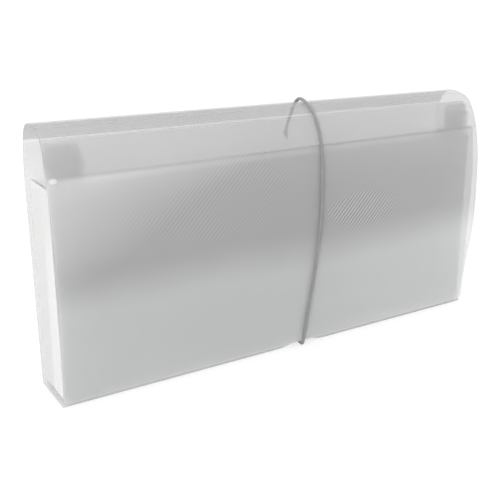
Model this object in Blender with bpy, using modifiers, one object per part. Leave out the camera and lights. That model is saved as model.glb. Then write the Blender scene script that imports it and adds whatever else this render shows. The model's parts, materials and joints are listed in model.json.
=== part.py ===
"""Expanding file folder in clear polypropylene: a scored cover, thirteen pleated pockets and an elastic.

The origin is the middle of the base's underside in plan, +X runs along the file's length,
the front faces -Y and +Z is up. All lengths are in metres.
A depth is counted from the back panel's inner face at the base, positive towards the front.
"""

import math

import bmesh
import bpy
from mathutils import Vector

PART_NAME = "expanding_file_folder"

# Driving sizes of the file
FILE_LENGTH = 0.267
PANEL_HEIGHT = 0.114
ROOF_RISE = 0.0202
DIVIDER_DROP = 0.0105
SHOULDER_RISE = 0.015
POCKET_COUNT = 13
POCKET_PITCH = 0.0022
STACK_REAR_Y = 0.0137

# Sheets and the gaps between them
COVER_SHEET = 0.0007
DIVIDER_SHEET = 0.0004
GUSSET_FILM = 0.00025
SHEET_GAP = 0.0003
CREASE_GAP = 0.00045
SEAT_GAP = 0.0004
FLAP_GAP = 0.0004

# How far the sheets lean back at the height of the front panel's top edge
BACK_LEAN = 0.0053
REAR_CREASE_LEAN = 0.0035
STACK_REAR_LEAN = 0.0018
STACK_FRONT_LEAN = 0.0044

# Flap: its lower edge, its bulge over the front panel and the fall of its top from left to right
FLAP_EDGE_HEIGHT = 0.0024
FLAP_BULGE = 0.0091
ROOF_FALL = 0.003
FRONT_CREASE_DEPTH_SHARE = 0.693
TOP_CREASE_DEPTH_SHARE = 0.437

# How far short of the ends the front panel and pleats stop, the pleats' depth, the raised shoulders of the
# front dividers, their number, and the room above them under the opening flap
FRONT_PANEL_INSET = 0.001
GUSSET_INSET = 0.0014
PLEAT_DEPTH = 0.0186
SHEET_CORNER = 0.0025
SHOULDER_COUNT = 3
SHOULDER_STEP = 0.0008
SHOULDER_FILLET = 0.0012
SHOULDER_CLEARANCE = 0.0012

# Angle that each pocket opens at its foot when the file is fanned out, in radians
POCKET_OPENING = math.radians(2.75)

# Elastic, its holes and the crimped barbs on its ends
CORD_DIAMETER = 0.0019
CORD_HOLE_CLEARANCE = 0.0004
CORD_STEP = 0.0055
CORD_SWING_OFFSET = 0.00125
ANCHOR_X = 0.0165
UPPER_ANCHOR_RISE = 0.0005
LOWER_ANCHOR_HEIGHT = 0.027
BARB_DIAMETER = 0.0017
BARB_LENGTH = 0.005
BARB_EDGE = 0.0003

# Channel in the base where the elastic runs under it
CHANNEL_X = 0.0087
CHANNEL_DEPTH = 0.0025
CHANNEL_HALF_WIDTH = 0.016

# Heights on the rise above the front panel, as shares of it, from the rear crease to the front crease
REAR_STRIP_DEPTH_SHARES = (0, 0.145, 0.373, 0.681, 1)
REAR_STRIP_RISE_SHARES = (0.569, 0.827, 0.970, 1, 0.965)
FRONT_STRIP_DEPTH_SHARES = (0, 0.51, 1)
FRONT_STRIP_RISE_SHARES = (0.965, 0.906, 0.792)

# Flap front: places down its chord and how far it bulges there at the left and right ends
FLAP_FALL_SHARES = (0, 0.039, 0.094, 0.172, 0.274, 0.376, 0.470, 0.564, 0.674, 0.799, 0.909, 1)
FLAP_LEFT_BULGE_SHARES = (0, 0.26, 0.48, 0.53, 0.56, 0.65, 0.71, 0.64, 0.48, 0.29, 0.11, 0)
FLAP_RIGHT_BULGE_SHARES = (0, 0.31, 0.60, 0.84, 1, 1, 0.98, 0.90, 0.67, 0.32, 0.11, 0)

# Back panel: its flat part ends at this share of the panel height, then it turns in to the rear crease
BACK_FLAT_SHARE = 0.92
BACK_TURN_RISE_SHARE = 0.075
BACK_TURN_LEAN_SHARE = 0.96

# The elastic's route as chosen points, from the upper hole over the front and under the base
CORD_ROUTE = (
    (0.0165, 0.0189, 0.1145),
    (0.0168, 0.0201, 0.1146),
    (0.0176, 0.0209, 0.1155),
    (0.0186, 0.0209, 0.1177),
    (0.0196, 0.0203, 0.1214),
    (0.0203, 0.0192, 0.1258),
    (0.0206, 0.0168, 0.1313),
    (0.0200, 0.0125, 0.1346),
    (0.0185, 0.0068, 0.1355),
    (0.0171, 0.0010, 0.1347),
    (0.0163, -0.0033, 0.1333),
    (0.0160, -0.0075, 0.1306),
    (0.0164, -0.0107, 0.1255),
    (0.0167, -0.0138, 0.1180),
    (0.0167, -0.0160, 0.1080),
    (0.0161, -0.0180, 0.0950),
    (0.0155, -0.0195, 0.0820),
    (0.0144, -0.0205, 0.0700),
    (0.0129, -0.0208, 0.0580),
    (0.0119, -0.0201, 0.0440),
    (0.0107, -0.0188, 0.0280),
    (0.0092, -0.0181, 0.0140),
    (0.0079, -0.01805, 0.0040),
    (0.0077, -0.0179, 0.0022),
    (0.0077, -0.0172, 0.00125),
    (0.0078, -0.0162, 0.00105),
    (0.0084, -0.0078, 0.00105),
    (0.0091, 0.0062, 0.00105),
    (0.0096, 0.0142, 0.0011),
    (0.0097, 0.0153, 0.0014),
    (0.0099, 0.0159, 0.0024),
    (0.0104, 0.0161, 0.0050),
    (0.0128, 0.0164, 0.0130),
    (0.0153, 0.0170, 0.0218),
    (0.0162, 0.0172, 0.0250),
    (0.0165, 0.0167, 0.0267),
    (0.0165, 0.0159, 0.0270),
    (0.0165, 0.0151, 0.0270),
)

# Rows of faces along each curved sheet, and faces along the file's length
BACK_TURN_ROWS = 5
REAR_STRIP_ROWS = 9
FRONT_STRIP_ROWS = 4
FLAP_ROWS = 26
FLAP_COLUMNS = 6
CHANNEL_COLUMNS = 12
CORNER_STEPS = 4
BARB_SIDES = 16
CUTTER_SIDES = 24

# Sizes worked out from the ones above
HALF_LENGTH = FILE_LENGTH / 2
STACK_DEPTH = POCKET_COUNT * POCKET_PITCH
COVER_FRONT_DEPTH = STACK_DEPTH + COVER_SHEET
DIVIDER_TOP = PANEL_HEIGHT - DIVIDER_DROP
SHOULDER_HEIGHT = PANEL_HEIGHT + SHOULDER_RISE
SEAT_HEIGHT = COVER_SHEET + SEAT_GAP
UPPER_ANCHOR_HEIGHT = PANEL_HEIGHT + UPPER_ANCHOR_RISE
PANEL_EDGE_X = HALF_LENGTH - FRONT_PANEL_INSET
POCKET_EDGE_X = HALF_LENGTH - GUSSET_INSET
SHOULDER_X = POCKET_EDGE_X - PLEAT_DEPTH
CORD_RADIUS = CORD_DIAMETER / 2
FULL_FAN = POCKET_COUNT * POCKET_OPENING

# Sheet colours: red, green, blue, roughness, metallic
COVER_FINISH = (0.78, 0.79, 0.81, 0.35, 0)
DIVIDER_FINISH = (0.72, 0.73, 0.75, 0.45, 0)
GUSSET_FINISH = (0.90, 0.90, 0.90, 0.50, 0)
CORD_FINISH = (0.36, 0.36, 0.36, 0.80, 0)
BARB_FINISH = (0.55, 0.55, 0.56, 0.35, 1)


def share_between(start, end, share):
    return start + (end - start) * share


def world_y(depth):
    return STACK_REAR_Y - depth


def roof_shift(x, height):
    """How far the flap's top sits above or below its middle height at x."""
    share = max(0, (height - PANEL_HEIGHT) / ROOF_RISE)
    return -ROOF_FALL * share * x / FILE_LENGTH


def on_cover(x, depth, height):
    return Vector((x, world_y(depth), height + roof_shift(x, height)))


def channel_rise(x):
    """Height of the base's underside over the elastic."""
    offset = abs(x - CHANNEL_X) / CHANNEL_HALF_WIDTH
    if offset >= 1:
        return 0
    return CHANNEL_DEPTH * (1 + math.cos(math.pi * offset)) / 2


def channel_places():
    """The x places along a lower edge that follow the channel."""
    steps = range(CHANNEL_COLUMNS + 1)
    low = CHANNEL_X - CHANNEL_HALF_WIDTH
    return [low + 2 * CHANNEL_HALF_WIDTH * step / CHANNEL_COLUMNS for step in steps]


def smooth_through(points, steps):
    """Points on a smooth curve through the given ones, with steps between each pair."""
    lengths = [(b - a).length for a, b in zip(points, points[1:])]
    slopes = []
    for index in range(len(points)):
        before = max(index - 1, 0)
        after = min(index + 1, len(points) - 1)
        slopes.append((points[after] - points[before]) / sum(lengths[before:after]))
    curve = [points[0]]
    for index, length in enumerate(lengths):
        for step in range(1, steps + 1):
            t = step / steps
            curve.append(
                points[index] * (2 * t**3 - 3 * t**2 + 1)
                + slopes[index] * length * (t**3 - 2 * t**2 + t)
                + points[index + 1] * (3 * t**2 - 2 * t**3)
                + slopes[index + 1] * length * (t**3 - t**2)
            )
    return curve


def place_along(path, distance):
    for a, b in zip(path, path[1:]):
        length = (b - a).length
        if distance <= length:
            return a.lerp(b, distance / length)
        distance -= length
    return path[-1]


def even_rows(path, rows, trim_start, trim_end):
    """The path cut back at its ends and shared out in rows of equal length."""
    length = sum((b - a).length for a, b in zip(path, path[1:]))
    span = length - trim_start - trim_end
    return [place_along(path, trim_start + span * row / rows) for row in range(rows + 1)]


def rear_crease():
    rise = ROOF_RISE * REAR_STRIP_RISE_SHARES[0]
    return Vector((-COVER_SHEET - REAR_CREASE_LEAN, PANEL_HEIGHT + rise))


def top_crease():
    depth = share_between(-COVER_SHEET, COVER_FRONT_DEPTH, TOP_CREASE_DEPTH_SHARE)
    return Vector((depth, PANEL_HEIGHT + ROOF_RISE * FRONT_STRIP_RISE_SHARES[0]))


def front_crease():
    depth = share_between(-COVER_SHEET, COVER_FRONT_DEPTH, FRONT_CREASE_DEPTH_SHARE)
    return Vector((depth, PANEL_HEIGHT + ROOF_RISE * FRONT_STRIP_RISE_SHARES[-1]))


def strip_path(start, end, depth_shares, rise_shares):
    points = [
        Vector((share_between(start.x, end.x, depth), PANEL_HEIGHT + ROOF_RISE * rise))
        for depth, rise in zip(depth_shares, rise_shares)
    ]
    return smooth_through(points, 6)


def rear_strip_path():
    return strip_path(rear_crease(), top_crease(), REAR_STRIP_DEPTH_SHARES, REAR_STRIP_RISE_SHARES)


def front_strip_path():
    return strip_path(top_crease(), front_crease(), FRONT_STRIP_DEPTH_SHARES, FRONT_STRIP_RISE_SHARES)


def flap_path(bulge_shares):
    """The flap's outer face below the front crease, at one end of the file."""
    edge_depth = COVER_FRONT_DEPTH + FLAP_GAP + COVER_SHEET
    start = front_crease()
    end = Vector((edge_depth, FLAP_EDGE_HEIGHT))
    points = [
        start.lerp(end, fall) + Vector((FLAP_BULGE * bulge, 0))
        for fall, bulge in zip(FLAP_FALL_SHARES, bulge_shares)
    ]
    return smooth_through(points, 6)


def back_path():
    flat_top = Vector((-COVER_SHEET - BACK_LEAN, PANEL_HEIGHT * BACK_FLAT_SHARE))
    foot = Vector((-COVER_SHEET, 0))
    seat = foot.lerp(flat_top, SEAT_HEIGHT / flat_top.y)
    turn_height = PANEL_HEIGHT + ROOF_RISE * BACK_TURN_RISE_SHARE
    turn = Vector((-COVER_SHEET - BACK_LEAN * BACK_TURN_LEAN_SHARE, turn_height))
    bend = smooth_through([flat_top, turn, rear_crease()], 6)
    return seat, flat_top, even_rows(bend, BACK_TURN_ROWS, 0, CREASE_GAP / 2)


def sheet_from_rows(name, columns, rows, place, thickness, finish):
    """A sheet whose outer face is a grid placed by column and row, thickened inwards."""
    grid = bmesh.new()
    bmesh.ops.create_grid(grid, x_segments=columns, y_segments=rows, size=1)
    for vertex in grid.verts:
        column = round((vertex.co.x + 1) / 2 * columns)
        row = round((vertex.co.y + 1) / 2 * rows)
        vertex.co = place(column, row)
    mesh = bpy.data.meshes.new(name)
    grid.to_mesh(mesh)
    grid.free()
    sheet = bpy.data.objects.new(name, mesh)
    solid = sheet.modifiers.new("sheet_thickness", "SOLIDIFY")
    solid.thickness = thickness
    solid.offset = -1
    solid.use_even_offset = True
    add_to_part(sheet, finish)
    return sheet


def add_to_part(piece, finish):
    collection = bpy.data.collections[PART_NAME]
    collection.objects.link(piece)
    piece.data.materials.append(finish)


def surface_finish(name, values):
    red, green, blue, roughness, metallic = values
    finish = bpy.data.materials.new(name)
    finish.use_nodes = True
    shader = finish.node_tree.nodes["Principled BSDF"]
    shader.inputs["Base Color"].default_value = (red, green, blue, 1)
    shader.inputs["Roughness"].default_value = roughness
    shader.inputs["Metallic"].default_value = metallic
    finish.diffuse_color = (red, green, blue, 1)
    return finish


def set_origin(piece, origin):
    """Moves a mesh's origin to a point on its hinge without moving the mesh."""
    for vertex in piece.data.vertices:
        vertex.co -= origin
    piece.location = origin


def hold(child, parent):
    bpy.context.view_layer.update()
    child.parent = parent
    child.matrix_parent_inverse = parent.matrix_world.inverted()


def stack_depth_at(share, height):
    """Depth of a sheet in the stack, 0 at the back panel and 1 at the front panel, at a height."""
    rear = -STACK_REAR_LEAN * height / PANEL_HEIGHT
    front = STACK_DEPTH - STACK_FRONT_LEAN * height / PANEL_HEIGHT
    return share_between(rear, front, share)


def roof_height(depth):
    """Height of the cover's outer face over a depth, at its lower right end."""
    path = rear_strip_path() + front_strip_path()[1:] + flap_path(FLAP_LEFT_BULGE_SHARES)[1:]
    for a, b in zip(path, path[1:]):
        if a.x <= depth <= b.x:
            slope = (b.y - a.y) / (b.x - a.x)
            height = a.y + slope * (depth - a.x)
            return height + roof_shift(HALF_LENGTH, height) - COVER_SHEET * math.hypot(1, slope)
    return PANEL_HEIGHT


def shoulder_top(share):
    """Height of a divider's raised ends, cut back where the flap comes down over them."""
    height = SHOULDER_HEIGHT
    for side in (-DIVIDER_SHEET, DIVIDER_SHEET):
        depth = stack_depth_at(share, SHOULDER_HEIGHT) + side
        height = min(height, roof_height(depth) - SHOULDER_CLEARANCE)
    return max(height, PANEL_HEIGHT)


def corner(centre_x, centre_y, radius, start_angle, turn):
    steps = range(CORNER_STEPS + 1)
    angles = [start_angle + turn * step / CORNER_STEPS for step in steps]
    return [(centre_x + radius * math.cos(a), centre_y + radius * math.sin(a)) for a in angles]


def lower_edge(half_length):
    """The lower edge of an upright sheet, left to right, clear of the channel even when fanned out."""
    lifted = [(x, channel_rise(x) / math.cos(FULL_FAN)) for x in channel_places()]
    return [(-half_length, 0)] + lifted + [(half_length, 0)]


def upright_sheet(name, outline, thickness, foot, lean_angle, finish):
    """A flat sheet stood up on its foot point, leaning back by an angle."""
    curve = bpy.data.curves.new(name, "CURVE")
    curve.dimensions = "2D"
    curve.fill_mode = "BOTH"
    curve.extrude = thickness / 2
    spline = curve.splines.new("POLY")
    spline.points.add(len(outline) - 1)
    for point, (x, y) in zip(spline.points, outline):
        point.co = (x, y, 0, 1)
    spline.use_cyclic_u = True
    sheet = bpy.data.objects.new(name, curve)
    sheet.location = foot
    sheet.rotation_euler = (math.pi / 2 - lean_angle, 0, 0)
    add_to_part(sheet, finish)
    return sheet


def make_base(finish):
    """The scored base strip, humped where the elastic runs under it."""
    places = [-HALF_LENGTH] + channel_places() + [HALF_LENGTH]
    depths = (COVER_FRONT_DEPTH, -COVER_SHEET)

    def place(column, row):
        x = places[-1 - column]
        return Vector((x, world_y(depths[row]), channel_rise(x)))

    return sheet_from_rows("base_panel", len(places) - 1, 1, place, COVER_SHEET, finish)


def make_back(finish):
    """The back panel: flat and leaning, then turned in towards the rear crease."""
    seat, flat_top, bend = back_path()
    path = [seat, flat_top] + bend[1:]
    places = [-HALF_LENGTH] + channel_places() + [HALF_LENGTH]

    def place(column, row):
        x = places[-1 - column]
        depth, height = path[row]
        if row == 0:
            height += channel_rise(x)
            depth = share_between(seat.x, flat_top.x, channel_rise(x) / (flat_top.y - seat.y))
        return on_cover(x, depth, height)

    back = sheet_from_rows("back_panel", len(places) - 1, len(path) - 1, place, COVER_SHEET, finish)
    for name, height in (("upper_hole", UPPER_ANCHOR_HEIGHT), ("lower_hole", LOWER_ANCHOR_HEIGHT)):
        cut_cord_hole(back, name, height)
    return back


def cut_cord_hole(back, name, height):
    bpy.ops.mesh.primitive_cylinder_add(
        vertices=CUTTER_SIDES,
        radius=CORD_RADIUS + CORD_HOLE_CLEARANCE,
        depth=2 * BACK_LEAN,
        location=(ANCHOR_X, back_outer_y(height), height),
        rotation=(math.pi / 2, 0, 0),
    )
    cutter = bpy.context.active_object
    cutter.name = name
    cutter.hide_render = True
    cutter.display_type = "WIRE"
    for collection in list(cutter.users_collection):
        collection.objects.unlink(cutter)
    bpy.data.collections[PART_NAME + "_cutters"].objects.link(cutter)
    hole = back.modifiers.new(name, "BOOLEAN")
    hole.operation = "DIFFERENCE"
    hole.object = cutter


def back_outer_y(height):
    seat, flat_top, bend = back_path()
    path = [seat, flat_top] + bend[1:]
    for a, b in zip(path, path[1:]):
        if a.y <= height <= b.y:
            return world_y(share_between(a.x, b.x, (height - a.y) / (b.y - a.y)))
    return world_y(seat.x)


def make_front_panel(finish):
    """The front panel, hinged on the base along its lower edge."""
    top = PANEL_HEIGHT - SEAT_HEIGHT
    outline = lower_edge(PANEL_EDGE_X)
    outline += corner(PANEL_EDGE_X - SHEET_CORNER, top - SHEET_CORNER, SHEET_CORNER, 0, math.pi / 2)
    outline += corner(SHEET_CORNER - PANEL_EDGE_X, top - SHEET_CORNER, SHEET_CORNER, math.pi / 2, math.pi / 2)
    middle = COVER_SHEET / 2
    foot_depth = stack_depth_at(1, SEAT_HEIGHT) + middle
    lean = math.atan2(STACK_FRONT_LEAN, PANEL_HEIGHT)
    foot = Vector((0, world_y(foot_depth), SEAT_HEIGHT))
    return upright_sheet("front_panel", outline, COVER_SHEET, foot, lean, finish)


def divider_outline(number):
    """A divider, straight along its top or, in the front ones, with raised shoulders, wider to the front."""
    inner = SHOULDER_X + SHOULDER_STEP * (POCKET_COUNT - 1 - number)
    low = DIVIDER_TOP - SEAT_HEIGHT
    high = shoulder_top(number / POCKET_COUNT) - SEAT_HEIGHT
    raised = number >= POCKET_COUNT - SHOULDER_COUNT
    top = high if raised else low
    right = corner(POCKET_EDGE_X - SHEET_CORNER, top - SHEET_CORNER, SHEET_CORNER, 0, math.pi / 2)
    if raised:
        right += corner(inner + SHEET_CORNER, top - SHEET_CORNER, SHEET_CORNER, math.pi / 2, math.pi / 2)
        right += corner(inner - SHOULDER_FILLET, low + SHOULDER_FILLET, SHOULDER_FILLET, 0, -math.pi / 2)
    left = [(-x, y) for x, y in reversed(right)]
    return lower_edge(POCKET_EDGE_X) + right + left


def make_divider(number, finish):
    share = number / POCKET_COUNT
    lean = math.atan2(
        stack_depth_at(share, 0) - stack_depth_at(share, PANEL_HEIGHT), PANEL_HEIGHT
    )
    foot = Vector((0, world_y(stack_depth_at(share, SEAT_HEIGHT)), SEAT_HEIGHT))
    name = f"divider_{number:02d}"
    return upright_sheet(name, divider_outline(number), DIVIDER_SHEET, foot, lean, finish)


def make_pleat(side, pocket, carrier, finish):
    """One inward fold of film that closes a pocket's side, between its two sheets."""
    rear_share = (pocket - 1) / POCKET_COUNT
    front_share = pocket / POCKET_COUNT
    film_room = SHEET_GAP + GUSSET_FILM / 2
    rear_room = film_room + (DIVIDER_SHEET / 2 if pocket > 1 else 0)
    front_room = film_room + (DIVIDER_SHEET / 2 if pocket < POCKET_COUNT else 0)
    tilt_room = POCKET_PITCH * (1 - math.cos(pocket * POCKET_OPENING))
    top = DIVIDER_TOP
    inner = SHOULDER_X + GUSSET_FILM / 2
    outer = POCKET_EDGE_X - GUSSET_FILM / 2
    rounding = corner(inner + SHEET_CORNER, top - SHEET_CORNER, SHEET_CORNER, math.pi / 2, math.pi / 2)
    run = [(outer, top)] + rounding
    plan = [(x, height, rear_share, rear_room) for x, height in run]
    plan += [(x, height, front_share, -front_room) for x, height in reversed(run)]

    def place(column, row):
        x, height, share, room = plan[column if side > 0 else -1 - column]
        if row == 0:
            height = SEAT_HEIGHT
            room += tilt_room if room > 0 else 0
        return Vector((side * x, world_y(stack_depth_at(share, height) + room), height))

    side_name = "right" if side > 0 else "left"
    name = f"gusset_{side_name}_{pocket:02d}"
    pleat = sheet_from_rows(name, len(plan) - 1, 1, place, GUSSET_FILM, finish)
    pleat.modifiers["sheet_thickness"].offset = 0
    if carrier is not None:
        hold(pleat, carrier)
    return pleat


def make_cover_strip(name, path, rows, crease, finish):
    """A strip of the cover between two creases, turning about the first of them."""
    outline = even_rows(path, rows, CREASE_GAP / 2, CREASE_GAP / 2)

    def place(column, row):
        x = share_between(-HALF_LENGTH, HALF_LENGTH, column / 2)
        return on_cover(x, *outline[-1 - row])

    strip = sheet_from_rows(name, 2, rows, place, COVER_SHEET, finish)
    set_origin(strip, on_cover(0, *crease))
    return strip


def make_flap_front(finish):
    """The flap's long front, bulging more at the right end than at the left."""
    left = even_rows(flap_path(FLAP_LEFT_BULGE_SHARES), FLAP_ROWS, CREASE_GAP / 2, 0)
    right = even_rows(flap_path(FLAP_RIGHT_BULGE_SHARES), FLAP_ROWS, CREASE_GAP / 2, 0)

    def place(column, row):
        share = column / FLAP_COLUMNS
        depth, height = left[-1 - row].lerp(right[-1 - row], share)
        return on_cover(share_between(-HALF_LENGTH, HALF_LENGTH, share), depth, height)

    flap = sheet_from_rows("flap_front", FLAP_COLUMNS, FLAP_ROWS, place, COVER_SHEET, finish)
    set_origin(flap, on_cover(0, *front_crease()))
    return flap


def make_elastic(finish):
    """The elastic as one tube, its origin on the line behind its two holes that it swings about."""
    route = [Vector(point) for point in CORD_ROUTE]
    points = route[:1]
    for index, (a, b) in enumerate(zip(route, route[1:])):
        steps = max(1, round((b - a).length / CORD_STEP))
        points += smooth_through(route, steps)[index * steps + 1:(index + 1) * steps + 1]
    length = sum((b - a).length for a, b in zip(points, points[1:]))
    curve = bpy.data.curves.new("elastic_cord", "CURVE")
    curve.dimensions = "3D"
    curve.bevel_depth = CORD_RADIUS
    curve.bevel_resolution = 2
    curve.use_fill_caps = True
    spline = curve.splines.new("POLY")
    spline.points.add(len(points) - 1)
    swing_y = back_outer_y(LOWER_ANCHOR_HEIGHT) + CORD_SWING_OFFSET
    origin = Vector((ANCHOR_X, swing_y, LOWER_ANCHOR_HEIGHT))
    for target, point in zip(spline.points, points):
        target.co = (*(point - origin), 1)
    cord = bpy.data.objects.new("elastic_cord", curve)
    cord.location = origin
    add_to_part(cord, finish)
    print("elastic length in mm:", round(length * 1000, 1), "points:", len(points))
    return cord


def make_barb(name, height, finish):
    """A crimped metal barb that keeps the elastic's end inside the back panel."""
    inner_face = back_outer_y(height) - COVER_SHEET
    y = inner_face - SHEET_GAP - BARB_DIAMETER / 2
    bpy.ops.mesh.primitive_cylinder_add(
        vertices=BARB_SIDES, radius=BARB_DIAMETER / 2, depth=BARB_LENGTH, location=(ANCHOR_X, y, height)
    )
    barb = bpy.context.active_object
    barb.name = name
    for collection in list(barb.users_collection):
        collection.objects.unlink(barb)
    add_to_part(barb, finish)
    edge = barb.modifiers.new("rounded_ends", "BEVEL")
    edge.width = BARB_EDGE
    edge.segments = 2
    barb.data.shade_smooth()
    return barb


def clear_scene():
    for item in list(bpy.data.objects):
        bpy.data.objects.remove(item, do_unlink=True)


def build_folder():
    clear_scene()
    for name in (PART_NAME, PART_NAME + "_cutters"):
        bpy.context.scene.collection.children.link(bpy.data.collections.new(name))
    cover = surface_finish("frosted_cover", COVER_FINISH)
    divider_film = surface_finish("frosted_divider", DIVIDER_FINISH)
    gusset_film = surface_finish("gusset_film", GUSSET_FINISH)
    elastic = surface_finish("grey_elastic", CORD_FINISH)
    metal = surface_finish("crimped_metal", BARB_FINISH)

    base = make_base(cover)
    back = make_back(cover)
    hold(back, base)
    front = make_front_panel(cover)
    dividers = [make_divider(number, divider_film) for number in range(1, POCKET_COUNT)]
    carriers = dividers + [front]
    for carrier in carriers:
        hold(carrier, base)
    for side in (-1, 1):
        for pocket, carrier in enumerate(carriers, start=1):
            make_pleat(side, pocket, carrier, gusset_film)
    rear_path = rear_strip_path()
    front_path = front_strip_path()
    rear_strip = make_cover_strip("flap_top_rear", rear_path, REAR_STRIP_ROWS, rear_crease(), cover)
    hold(rear_strip, back)
    front_strip = make_cover_strip("flap_top_front", front_path, FRONT_STRIP_ROWS, top_crease(), cover)
    hold(front_strip, rear_strip)
    flap = make_flap_front(cover)
    hold(flap, front_strip)
    cord = make_elastic(elastic)
    hold(cord, back)
    hold(make_barb("upper_cord_barb", UPPER_ANCHOR_HEIGHT, metal), back)
    hold(make_barb("lower_cord_barb", LOWER_ANCHOR_HEIGHT, metal), back)


build_folder()
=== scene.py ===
"""Looks for the expanding file folder: frosted polypropylene sheets, pleated film, braided elastic.

All lengths are in metres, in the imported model's frame: +X along the file, the front faces -Y, +Z up.
A depth is counted from the back panel's inner face at the base, positive towards the front.
"""

import json
import math

import bpy
import numpy as np
from mathutils import Matrix, Vector

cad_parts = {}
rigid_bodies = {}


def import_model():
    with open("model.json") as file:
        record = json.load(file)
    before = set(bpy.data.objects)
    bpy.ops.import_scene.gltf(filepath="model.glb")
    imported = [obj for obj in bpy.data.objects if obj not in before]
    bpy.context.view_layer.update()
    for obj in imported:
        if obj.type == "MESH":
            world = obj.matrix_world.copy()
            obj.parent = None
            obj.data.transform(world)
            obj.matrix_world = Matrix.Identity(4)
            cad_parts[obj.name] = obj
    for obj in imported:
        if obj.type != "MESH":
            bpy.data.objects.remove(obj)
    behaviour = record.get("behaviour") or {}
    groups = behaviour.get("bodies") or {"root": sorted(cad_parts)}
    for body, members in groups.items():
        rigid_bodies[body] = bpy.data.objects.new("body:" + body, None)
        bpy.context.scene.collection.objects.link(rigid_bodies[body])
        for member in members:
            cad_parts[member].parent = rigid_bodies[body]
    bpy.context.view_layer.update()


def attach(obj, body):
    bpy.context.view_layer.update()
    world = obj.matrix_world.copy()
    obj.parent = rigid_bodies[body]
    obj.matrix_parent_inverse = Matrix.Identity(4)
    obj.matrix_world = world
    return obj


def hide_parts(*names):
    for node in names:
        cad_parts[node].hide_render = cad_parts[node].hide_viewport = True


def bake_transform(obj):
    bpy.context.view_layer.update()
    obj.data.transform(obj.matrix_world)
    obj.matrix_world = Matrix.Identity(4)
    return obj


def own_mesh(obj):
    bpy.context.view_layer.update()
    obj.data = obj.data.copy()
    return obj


MM = 0.001

# Sizes of the file, the same as in the solids
FILE_LENGTH = 267 * MM
HALF_LENGTH = FILE_LENGTH / 2
PANEL_HEIGHT = 114 * MM
ROOF_RISE = 20.2 * MM
DIVIDER_TOP = 103.5 * MM
SHOULDER_HEIGHT = 129 * MM
POCKET_COUNT = 13
POCKET_PITCH = 2.2 * MM
STACK_DEPTH = POCKET_COUNT * POCKET_PITCH
STACK_REAR_Y = 13.7 * MM
COVER_SHEET = 0.7 * MM
DIVIDER_SHEET = 0.4 * MM
GUSSET_FILM = 0.25 * MM
SEAT_HEIGHT = 1.1 * MM
CREASE_GAP = 0.45 * MM
BACK_LEAN = 5.3 * MM
REAR_CREASE_LEAN = 3.5 * MM
STACK_REAR_LEAN = 1.8 * MM
STACK_FRONT_LEAN = 4.4 * MM
COVER_FRONT_DEPTH = STACK_DEPTH + COVER_SHEET
FLAP_EDGE_DEPTH = COVER_FRONT_DEPTH + 1.1 * MM
FLAP_EDGE_HEIGHT = 2.4 * MM
FLAP_BULGE = 9.1 * MM
ROOF_FALL = 3 * MM
PANEL_EDGE_X = HALF_LENGTH - 1.0 * MM
POCKET_EDGE_X = HALF_LENGTH - 1.4 * MM
SHOULDER_X = POCKET_EDGE_X - 18.6 * MM
SHEET_CORNER = 2.5 * MM
SHOULDER_COUNT = 3
SHOULDER_STEP = 0.8 * MM
SHOULDER_FILLET = 1.2 * MM
SHOULDER_CLEARANCE = 1.2 * MM
POCKET_OPENING = math.radians(2.75)
CHANNEL_X = 8.7 * MM
CHANNEL_DEPTH = 2.5 * MM
CHANNEL_HALF_WIDTH = 16 * MM
ANCHOR_X = 16.5 * MM
UPPER_ANCHOR_HEIGHT = 114.5 * MM
LOWER_ANCHOR_HEIGHT = 27 * MM
HOLE_RADIUS = 1.35 * MM

# Sizes that only the scene has
WIDE_SHOULDER_X = 109.5 * MM
CHANNEL_FADE = 14 * MM
FOLD_RADIUS = 0.9 * MM
WELD_X = 123.6 * MM

# A sheet's mark whitens it above zero and makes it clearer below zero
THIN_MARK = -0.6

# The cover's outer face as shares of its sizes, the same as in the solids
FRONT_CREASE_SHARE = 0.693
TOP_CREASE_SHARE = 0.437
REAR_STRIP_DEPTH_SHARES = (0, 0.145, 0.373, 0.681, 1)
REAR_STRIP_RISE_SHARES = (0.569, 0.827, 0.970, 1, 0.965)
FRONT_STRIP_DEPTH_SHARES = (0, 0.51, 1)
FRONT_STRIP_RISE_SHARES = (0.965, 0.906, 0.792)
FLAP_FALL_SHARES = (0, 0.039, 0.094, 0.172, 0.274, 0.376, 0.470, 0.564, 0.674, 0.799, 0.909, 1)
FLAP_LEFT_BULGE_SHARES = (0, 0.26, 0.48, 0.53, 0.56, 0.65, 0.71, 0.64, 0.48, 0.29, 0.11, 0)
FLAP_RIGHT_BULGE_SHARES = (0, 0.31, 0.60, 0.84, 1, 1, 0.98, 0.90, 0.67, 0.32, 0.11, 0)

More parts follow.
